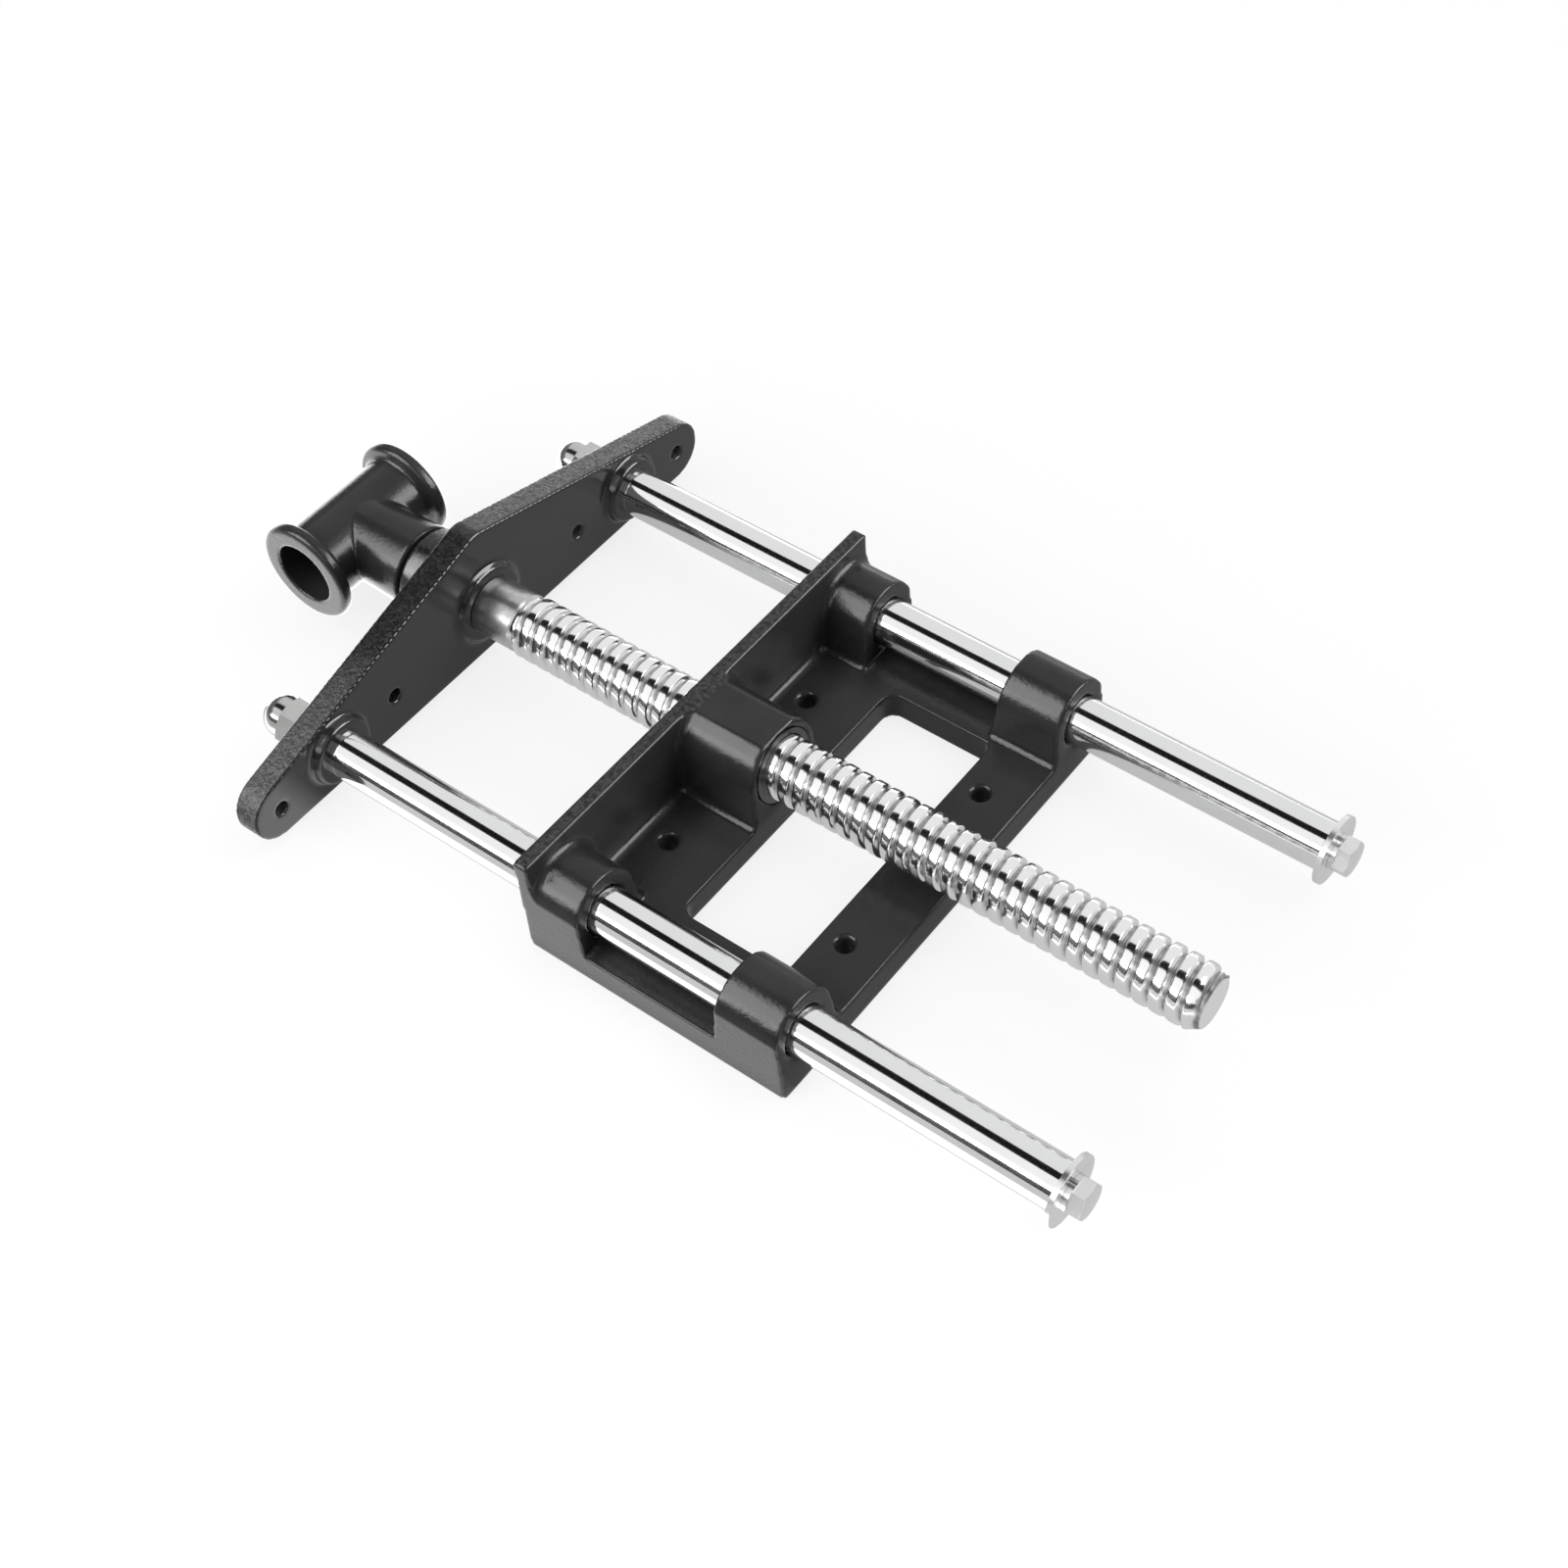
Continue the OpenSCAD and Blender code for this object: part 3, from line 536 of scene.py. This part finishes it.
def spindle(shape):
    """The thin end in the jaw and the tee, then the smooth stretch up to the thread."""
    journal = [(STEM_X - SPINDLE_REACH, SPINDLE_R), (JOURNAL_X, SPINDLE_R)]
    shoulder = [(JOURNAL_X, 11.55), (JOURNAL_X + 0.1, 11.78), (JOURNAL_X + 0.35, SHOULDER_R)]
    neck = [(THREAD_X - 1.75, SHOULDER_R), (THREAD_X - 1.4, 11.78), (THREAD_X - 1.2, 11.45)]
    into_thread = [(THREAD_X, 11.4), (THREAD_X + 0.1, 10.6), (THREAD_X + 0.3, 10.1)]
    turned(shape, journal + shoulder + neck + into_thread)


def lead_screw():
    mesh = bpy.data.meshes.new("lead_screw_bright")
    whole = bmesh.new()
    for make in (thread_shell, tail_cap, spindle):
        part = bmesh.new()
        make(part)
        bmesh.ops.recalc_face_normals(part, faces=part.faces)
        part.to_mesh(mesh)
        part.free()
        whole.from_mesh(mesh)
    bmesh.ops.translate(whole, verts=whole.verts, vec=(0, 0, SCREW_H * MM))
    whole.to_mesh(mesh)
    whole.free()
    screw = link(bpy.data.objects.new("lead_screw_bright", mesh))
    finish_piece(screw, SCREW_METAL, "screw", "lead_screw")


# Materials of the CAD nodes that stay
def dress_node(name, mat):
    data = nodes[name].data
    data.materials.clear()
    data.materials.append(mat)


castings = [rear_casting(), front_jaw(), handle_tee()]
lead_screw()
for name in ("screw_nut", "nut_grub_screw", "hub_pin", "thrust_washer"):
    dress_node(name, DARK)
for side in ("left", "right"):
    dress_node("guide_rod_" + side, CHROME)
    dress_node("dome_nut_" + side, NICKEL)
    for name in ("front_lock_washer_", "end_washer_", "end_lock_washer_", "end_bolt_"):
        dress_node(name + side, ZINC)


# Floor, light and camera
def camera_strength(tree, diffuse_value, seen_value):
    """A value that differs between what lights the object and what is seen or mirrored."""
    path = add_node(tree, "ShaderNodeLightPath")
    seen = calculate(tree, "MAXIMUM", path.outputs["Is Camera Ray"], path.outputs["Is Glossy Ray"])
    seen = calculate(tree, "MAXIMUM", seen, path.outputs["Is Transmission Ray"])
    return calculate(tree, "MULTIPLY_ADD", seen, seen_value - diffuse_value, diffuse_value)


def white_world(scene):
    world = bpy.data.worlds.new("studio")
    scene.world = world
    world.use_nodes = True
    tree = world.node_tree
    background = tree.nodes["Background"]
    background.inputs["Color"].default_value = (1.0, 1.0, 1.0, 1.0)
    tree.links.new(camera_strength(tree, 0.55, 1.0), background.inputs["Strength"])


def bare_material(name):
    """A material without a shader yet: itself, its tree, and its output's surface."""
    mat = bpy.data.materials.new(name)
    mat.use_nodes = True
    tree = mat.node_tree
    tree.nodes.clear()
    out = add_node(tree, "ShaderNodeOutputMaterial")
    return mat, tree, out.inputs["Surface"]


def floor_patch(tree, *edges):
    """1 inside a patch of the floor: each edge has an axis, and from where to where it fades in."""
    vector = add_node(tree, "ShaderNodeTexCoord").outputs["Object"]
    return product(tree, *(axis_step(tree, vector, axis, low * MM, high * MM) for axis, low, high in edges))


def floor_mirror_strength(tree):
    """How bright the floor looks in shiny metal: brighter beside the near rod and under the tee."""
    beside_rod = floor_patch(tree, ("Y", -92.0, -104.0), ("Y", -142.0, -128.0))
    under_tee = floor_patch(tree, ("X", -188.0, -200.0), ("Y", -78.0, -66.0))
    lit = calculate(tree, "MAXIMUM", beside_rod, calculate(tree, "MULTIPLY", under_tee, 2.3))
    return calculate(tree, "MULTIPLY_ADD", lit, 1.35, 0.42)


def floor_material():
    mat, tree, surface = bare_material("floor_white")
    matt = add_node(tree, "ShaderNodeBsdfDiffuse")
    matt.inputs["Color"].default_value = (0.28, 0.28, 0.28, 1.0)
    path = add_node(tree, "ShaderNodeLightPath")
    strength = add_node(tree, "ShaderNodeMix", data_type="FLOAT")
    tree.links.new(path.outputs["Is Glossy Ray"], strength.inputs[0])
    tree.links.new(camera_strength(tree, 0.42, 0.79), strength.inputs[2])
    tree.links.new(floor_mirror_strength(tree), strength.inputs[3])
    glow = add_node(tree, "ShaderNodeEmission")
    tree.links.new(strength.outputs[0], glow.inputs["Strength"])
    total = add_node(tree, "ShaderNodeAddShader")
    tree.links.new(matt.outputs[0], total.inputs[0])
    tree.links.new(glow.outputs[0], total.inputs[1])
    tree.links.new(total.outputs[0], surface)
    return mat


def card_material(name, shade):
    mat, tree, surface = bare_material(name)
    glow = add_node(tree, "ShaderNodeEmission")
    glow.inputs["Strength"].default_value = shade
    tree.links.new(glow.outputs[0], surface)
    return mat


def sheet(name, corners, mat):
    """A flat sheet with four corners, which is no part of the vise."""
    shape = bmesh.new()
    shape.faces.new([shape.verts.new(corner) for corner in corners])
    mesh = bpy.data.meshes.new(name)
    shape.to_mesh(mesh)
    shape.free()
    mesh.materials.append(mat)
    obj = link(bpy.data.objects.new(name, mesh))
    return obj


def card(name, corners, shade):
    """A card round the vise that only shows in shiny metal."""
    obj = sheet(name, corners, card_material(name, shade))
    obj.visible_camera = False
    obj.visible_diffuse = False
    obj.visible_shadow = False


def long_card(name, end, near, far, shade):
    """A card along the vise between a near and a far edge, each with its Y and its height."""
    card(name, [(-LONG_END, *near), (end, *near), (end, *far), (-LONG_END, *far)], shade)


def area_lamp(name, place, target, size, watts):
    data = bpy.data.lights.new(name, "AREA")
    data.shape = "RECTANGLE"
    data.size, data.size_y = size
    data.energy = watts
    obj = link(bpy.data.objects.new(name, data))
    obj.location = place
    aim = Vector(target) - Vector(place)
    obj.rotation_euler = aim.to_track_quat("-Z", "Y").to_euler()
    return obj


def enamel_lamp(name, place, size, watts, diffuse, lit_pieces):
    """A lamp for the castings alone, because it would wash out the bright metal."""
    lamp = area_lamp(name, place, VISE_MIDDLE, size, watts)
    lamp.data.diffuse_factor = diffuse
    lamp.light_linking.receiver_collection = lit_pieces


def light_vise(castings):
    painted = bpy.data.collections.new("painted")
    for casting in castings:
        painted.objects.link(casting)
    front = area_lamp("front_softbox", (-0.9, -2.2, 0.95), (-0.9, 0, 0.95), size=(3.4, 1.3), watts=44.0)
    front.data.specular_factor = 0.45
    area_lamp("top_fill", (0.9, 0.7, 2.0), VISE_MIDDLE, size=(1.2, 0.8), watts=5.0)
    enamel_lamp(
        "enamel_softbox", (-1.1, -1.455, 1.45), size=(1.6, 2.35), watts=106.0, diffuse=0.12,
        lit_pieces=painted,
    )
    enamel_lamp(
        "edge_softbox", (1.6, 1.05, 0.95), size=(1.8, 1.6), watts=105.0, diffuse=0.1,
        lit_pieces=painted,
    )


def photo_camera(azimuth, elevation, roll, place, lens):
    """The photo's camera: angles in degrees, its place in metres, its lens in millimetres."""
    azimuth, elevation, roll = (math.radians(angle) for angle in (azimuth, elevation, roll))
    level = math.cos(elevation)
    back = Vector((math.sin(azimuth) * level, -math.cos(azimuth) * level, math.sin(elevation)))
    right = Vector((math.cos(azimuth), math.sin(azimuth), 0))
    up = back.cross(right)
    rolled_right = right * math.cos(roll) + up * math.sin(roll)
    rolled_up = up * math.cos(roll) - right * math.sin(roll)
    data = bpy.data.cameras.new("camera")
    data.sensor_width = 36.0
    data.sensor_height = 36.0
    data.lens = lens
    data.clip_start = 0.01
    camera = link(bpy.data.objects.new("camera", data))
    turn = Matrix((rolled_right, rolled_up, back)).transposed()
    camera.matrix_world = Matrix.Translation(place) @ turn.to_4x4()
    return camera


scene = bpy.context.scene
white_world(scene)
floor_corners = [(x * FLOOR_END, y * FLOOR_END, FLOOR_H) for x, y in ((-1, -1), (1, -1), (1, 1), (-1, 1))]
sheet("floor", floor_corners, floor_material())
light_vise(castings)

long_card("strip_card", LONG_END, near=(-0.72, STRIP_H), far=(STRIP_FAR, STRIP_H), shade=0.01)
long_card("back_card", LONG_END, near=(STRIP_FAR, STRIP_H), far=(3.2, 0.5), shade=0.84)
long_card("low_card", SIDE_END, near=(-2.2, 0.03), far=(-2.16, 0.85), shade=0.03)
for name, x in (("left_card", -SIDE_END), ("right_card", SIDE_END)):
    corners = [(x, -SIDE_END, 0), (x, SIDE_END, 0), (x, SIDE_END, SIDE_TOP), (x, -SIDE_END, SIDE_TOP)]
    card(name, corners, shade=0.2)

scene.camera = photo_camera(
    azimuth=40.223, elevation=50.154, roll=-3.866, place=(0.3670, -0.4558, 0.7335), lens=58.29,
)
scene.view_settings.view_transform = "Standard"
